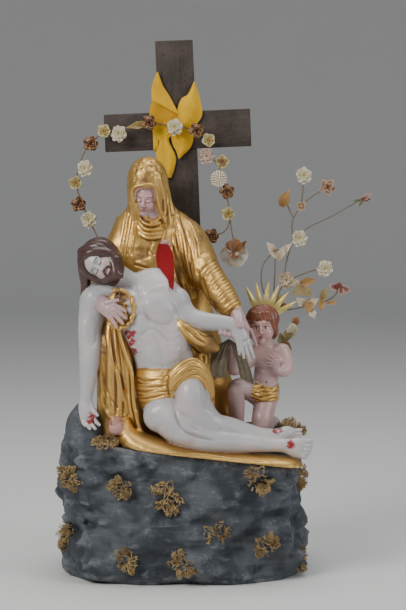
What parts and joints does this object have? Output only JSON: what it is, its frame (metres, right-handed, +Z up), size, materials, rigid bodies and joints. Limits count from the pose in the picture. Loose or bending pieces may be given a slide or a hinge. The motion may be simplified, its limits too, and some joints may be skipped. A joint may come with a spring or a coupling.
{
  "type": "pieta statue",
  "caption": "Carved and gilt pieta group on a painted rock, with a kneeling putto, a plain cross with scarf, a wire garland and a bouquet of made flowers.",
  "frame": {"origin": "middle of the rock's flat underside", "axes": "+Z up, -Y towards the front that the figures face, +X to the viewer's right"},
  "size_m": [0.3201, 0.1962, 0.541],
  "materials": {
    "rock_paint": "blue-grey distemper brushed over carved wood, with pale dry streaks",
    "gilt_and_flesh": "water gilding over brown bole, burnished, with pale painted flesh on the figures",
    "flesh_paint": "satin painted flesh with a gilt loincloth",
    "gilt_metal": "pale worn gilding on thin sheet metal",
    "dark_wood": "dark stained board, dull",
    "yellow_silk": "soft yellow silk",
    "red_silk": "crimson silk ribbon",
    "linen": "olive-grey linen, fringed hem",
    "wire": "wire wound with brown thread",
    "cream_petal": "stiffened cream cloth petals, yellowed",
    "brown_petal": "crumpled brown petals and wax berries",
    "straw_leaf": "straw-green stiffened leaves",
    "moss": "dried branching moss"
  },
  "bodies": {
    "root": {"bouquet_bud_1": "straw_leaf", "bouquet_bud_2": "straw_leaf", "bouquet_bud_3": "straw_leaf", "bouquet_bud_4": "straw_leaf", "bouquet_leaf_1": "straw_leaf", "bouquet_leaf_2": "straw_leaf", "bouquet_leaf_3": "straw_leaf", "bouquet_leaf_4": "straw_leaf", "bouquet_leaf_5": "straw_leaf", "bouquet_leaf_6": "straw_leaf", "bouquet_leaf_7": "straw_leaf", "bouquet_leaf_8": "straw_leaf", "bouquet_rose_1": "cream_petal", "bouquet_rose_2": "cream_petal", "bouquet_rose_3": "cream_petal", "bouquet_rose_4": "cream_petal", "bouquet_wires": "wire", "cross_beam": "dark_wood", "cross_upright": "dark_wood", "garland_berries_1": "brown_petal", "garland_berries_2": "brown_petal", "garland_berries_3": "brown_petal", "garland_berries_4": "brown_petal", "garland_berries_5": "brown_petal", "garland_berries_6": "brown_petal", "garland_floret_1": "straw_leaf", "garland_floret_2": "straw_leaf", "garland_floret_3": "straw_leaf", "garland_floret_4": "straw_leaf", "garland_floret_5": "straw_leaf", "garland_leaf": "straw_leaf", "garland_rose_1": "cream_petal", "garland_rose_2": "cream_petal", "garland_rose_3": "cream_petal", "garland_rose_4": "cream_petal", "garland_rose_5": "cream_petal", "garland_rose_6": "cream_petal", "garland_wire": "wire", "moss_01": "moss", "moss_02": "moss", "moss_03": "moss", "moss_04": "moss", "moss_05": "moss", "moss_06": "moss", "moss_07": "moss", "moss_08": "moss", "moss_09": "moss", "moss_10": "moss", "moss_11": "moss", "moss_12": "moss", "moss_13": "moss", "pieta_group": "gilt_and_flesh", "putto": "flesh_paint", "putto_cloth": "linen", "putto_ray_crown": "gilt_metal", "red_ribbon": "red_silk", "rock_base": "rock_paint", "shell_flower": "brown_petal", "yellow_scarf": "yellow_silk"}
  },
  "joints": []
}
